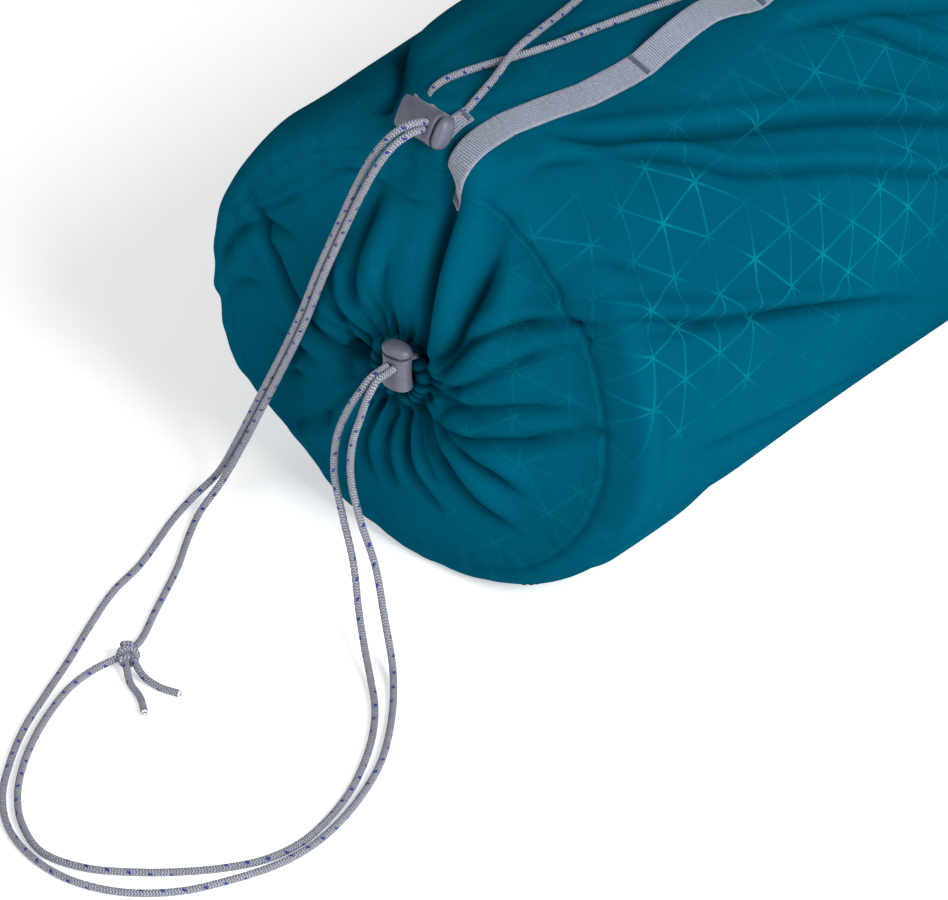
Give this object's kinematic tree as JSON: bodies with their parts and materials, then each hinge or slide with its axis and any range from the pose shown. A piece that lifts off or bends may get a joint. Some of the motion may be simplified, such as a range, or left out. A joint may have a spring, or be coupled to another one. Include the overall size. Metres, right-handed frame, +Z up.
{
  "type": "stuff sack",
  "caption": "Filled drawcord stuff sack lying on its side, gathered mouth at one end, laced webbing daisy chains on top and spring cord locks on a long looped cord.",
  "frame": {"origin": "on the surface that the sack lies on, below the middle of the object without its free cord", "axes": "+Y along the sack's axis from the mouth to the base, +Z up through the lacing, +X to the side of the right daisy chain"},
  "size_m": [0.22, 0.6236, 0.2233],
  "materials": {
    "fabric": "smooth woven nylon with a low sheen",
    "seam_tape": "plain woven binding",
    "webbing": "cross-ribbed tape, matt",
    "thread": "dense stitching",
    "lock_plastic": "satin moulded",
    "spring_steel": "bright wire",
    "cord": "round braid with blue tracer flecks"
  },
  "bodies": {
    "sack": {"side_panel": "fabric", "mouth_panel": "fabric", "drawcord_channel": "fabric", "base_panel": "fabric", "mouth_seam_tape": "seam_tape", "base_seam_tape": "seam_tape", "side_seam_tape": "seam_tape", "webbing_right": "webbing", "webbing_left": "webbing", "webbing_bartacks": "thread", "base_handle": "webbing", "handle_stitches": "thread", "lock_tab": "webbing", "lock_tab_stitches": "thread", "upper_lock_housing": "lock_plastic", "upper_lock_spring": "spring_steel", "draw_cord": "cord", "lacing_cord": "cord", "free_cord_long": "cord", "free_cord_upper_end": "cord", "free_cord_lower_end": "cord", "cord_knot": "cord", "cord_tails": "cord"},
    "upper_button": {"upper_lock_button": "lock_plastic"},
    "lower_lock": {"lower_lock_housing": "lock_plastic", "lower_lock_spring": "spring_steel"},
    "lower_button": {"lower_lock_button": "lock_plastic"}
  },
  "joints": [
    {"name": "lower_lock_slide", "type": "slide", "parent": "sack", "child": "lower_lock", "axis": [0, -1, 0], "range_m": [0, 0.008]},
    {"name": "lower_button_press", "type": "slide", "parent": "lower_lock", "child": "lower_button", "axis": [0, 0, -1], "range_m": [0, 0.0012], "stiffness_N_per_m": 800, "deforming": ["lower_lock_spring"]},
    {"name": "upper_button_press", "type": "slide", "parent": "sack", "child": "upper_button", "axis": [-0.9962, 0.0872, 0], "range_m": [0, 0.0012], "stiffness_N_per_m": 800, "deforming": ["upper_lock_spring"]}
  ]
}
